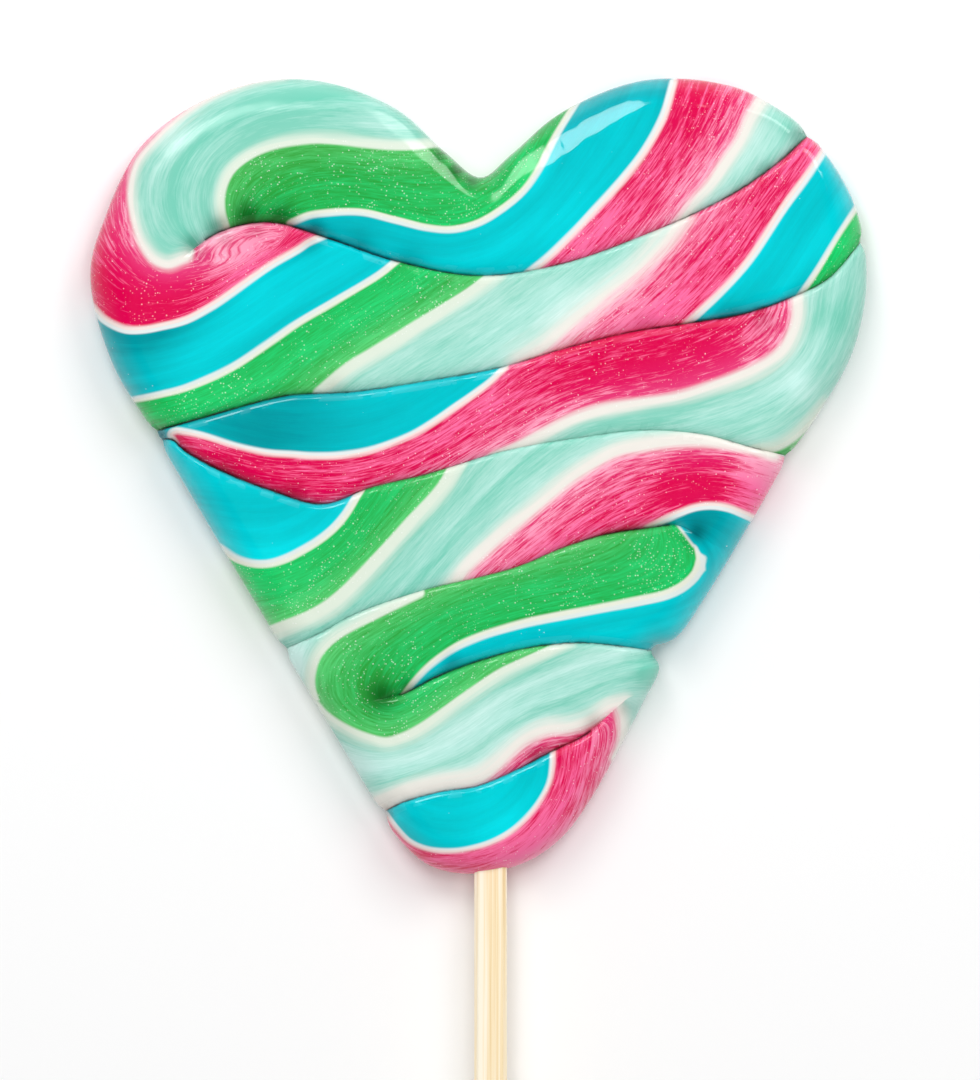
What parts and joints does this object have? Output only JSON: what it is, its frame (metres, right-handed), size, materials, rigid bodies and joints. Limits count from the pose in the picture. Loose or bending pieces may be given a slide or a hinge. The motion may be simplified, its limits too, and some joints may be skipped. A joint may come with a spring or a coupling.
{
  "type": "heart lollipop",
  "caption": "Flat heart-shaped lollipop of pulled sugar, a striped rope folded in rows and pressed, on a square wooden stick; it lies on its back.",
  "frame": {"origin": "under the middle of the whole lollipop, on the surface it lies on", "axes": "+Z out of the shown face, +Y along the stick from its free end to the notch of the heart, +X to the right of the shown face"},
  "size_m": [0.0932, 0.1954, 0.009],
  "materials": {
    "candy": "glossy boiled sugar with stripes of pink, turquoise, green, mint and white; gloss plastic stands in for sugar",
    "wood": "pale bare wood, straight fine grain"
  },
  "bodies": {
    "root": {"candy_heart": "candy", "stick": "wood"}
  },
  "joints": []
}
